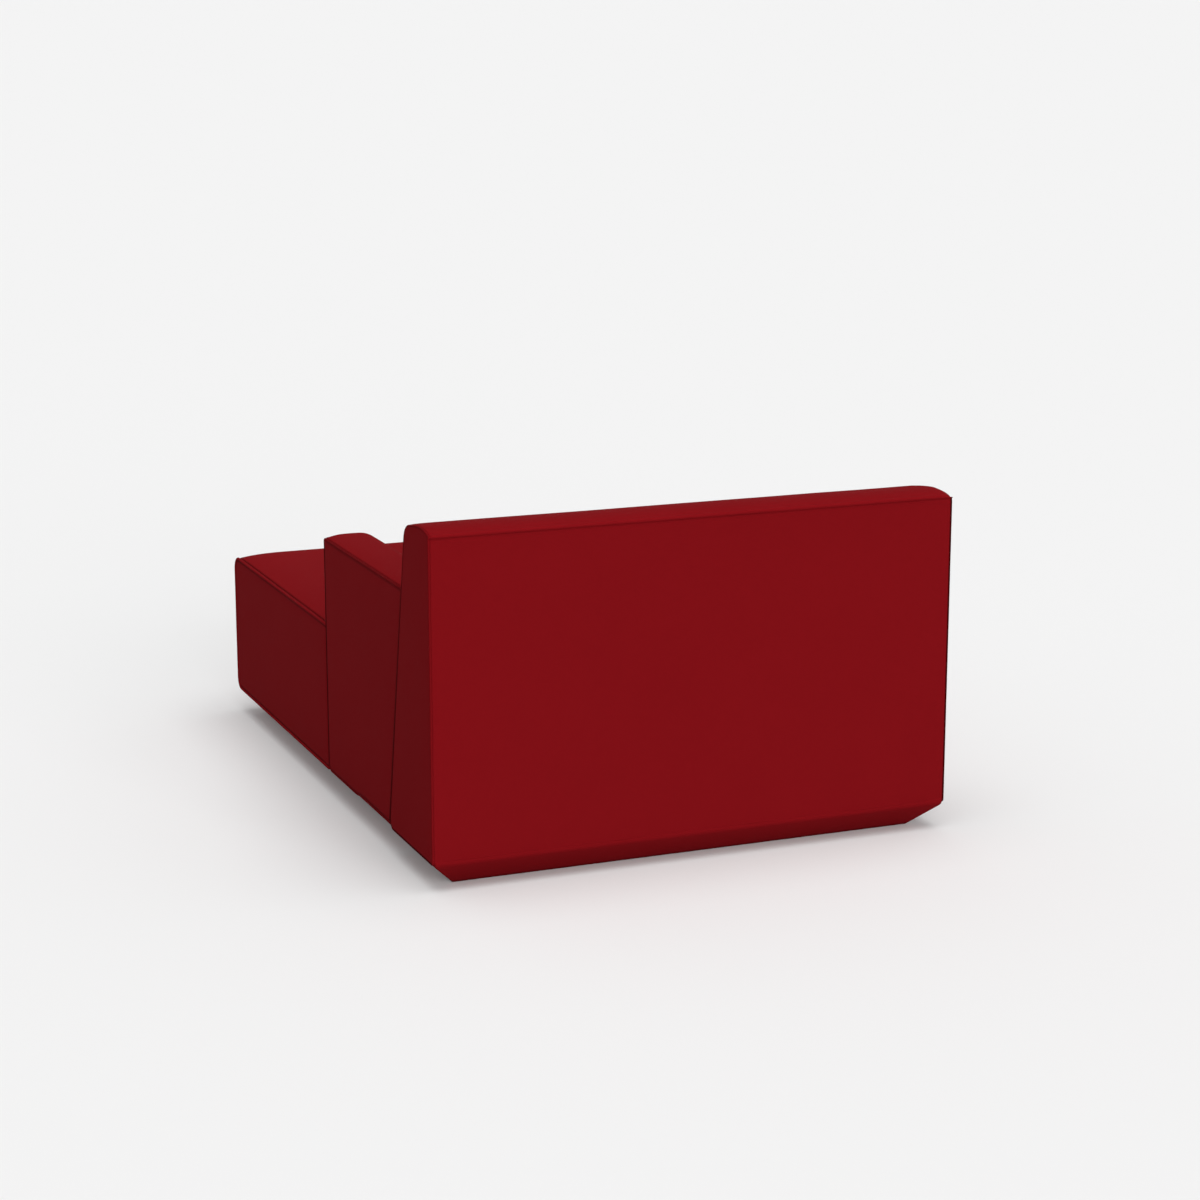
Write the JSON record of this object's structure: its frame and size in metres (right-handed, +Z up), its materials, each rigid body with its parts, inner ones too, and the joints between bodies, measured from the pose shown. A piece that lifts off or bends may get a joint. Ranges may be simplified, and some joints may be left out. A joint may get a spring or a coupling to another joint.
{
  "type": "recamiere daybed",
  "caption": "Modular upholstered chaise daybed: deep crowned seat, one side armrest and a wedge-shaped backrest, blocks that lift off locating pins.",
  "frame": {"origin": "bottom centre of the bounding box, on the floor", "axes": "+Y to the rear, along the seat's length; +Z up; +X towards the side with the armrest"},
  "size_m": [1.2, 1.59, 0.7649],
  "materials": {
    "upholstery": "fine matte weave",
    "base_cloth": "fine matte weave",
    "foam": "cut foam",
    "felt": "needled felt",
    "dust_cloth": "thin black cloth",
    "webbing": "woven strap",
    "timber": "planed",
    "plywood": "plywood",
    "steel": "zinc plated",
    "bush_steel": "zinc plated",
    "glide": "matte"
  },
  "bodies": {
    "seat": {"seat_cover": "upholstery", "seat_base_cover": "base_cloth", "seat_foam_front": "foam", "seat_foam_rear": "foam", "seat_front_pad": "foam", "seat_left_pad": "foam", "seat_right_pad": "foam", "seat_rear_pad": "foam", "seat_felt": "felt", "seat_springs": "steel", "spring_clips": "steel", "seat_front_board": "timber", "seat_left_board": "timber", "seat_right_board": "timber", "seat_notch_board": "timber", "seat_inner_board": "timber", "seat_rear_board": "timber", "seat_middle_rail": "timber", "seat_corner_blocks": "timber", "seat_plinth_front": "timber", "seat_plinth_left": "timber", "seat_plinth_right": "timber", "seat_plinth_inner": "timber", "seat_plinth_rear": "timber", "seat_dust_cover": "dust_cloth", "seat_glides": "glide", "connector_screws": "steel", "arm_connectors": "steel", "back_connectors": "steel"},
    "armrest": {"arm_cover": "upholstery", "arm_base_cover": "base_cloth", "arm_top_foam": "foam", "arm_side_pads": "foam", "arm_front_pad": "foam", "arm_rear_pad": "foam", "arm_inner_board": "plywood", "arm_outer_board": "plywood", "arm_bottom_rail": "timber", "arm_top_rail": "timber", "arm_front_post": "timber", "arm_rear_post": "timber", "arm_plinth": "timber", "arm_bushes": "bush_steel", "arm_glides": "glide"},
    "backrest": {"back_cover": "upholstery", "back_base_cover": "base_cloth", "back_front_foam": "foam", "back_top_foam": "foam", "back_rear_pad": "foam", "back_end_pads": "foam", "back_board": "plywood", "back_ribs": "timber", "back_bottom_board": "timber", "back_top_board": "timber", "back_webbing": "webbing", "back_plinth_front": "timber", "back_plinth_rear": "timber", "back_plinth_ends": "timber", "back_bushes": "bush_steel", "back_glides": "glide"}
  },
  "joints": [
    {"name": "armrest_lift", "type": "slide", "parent": "seat", "child": "armrest", "axis": [0, 0, 1], "range_m": [0, 0.65]},
    {"name": "backrest_lift", "type": "slide", "parent": "seat", "child": "backrest", "axis": [0, 0.1977, 0.9803], "range_m": [0, 0.8]}
  ]
}
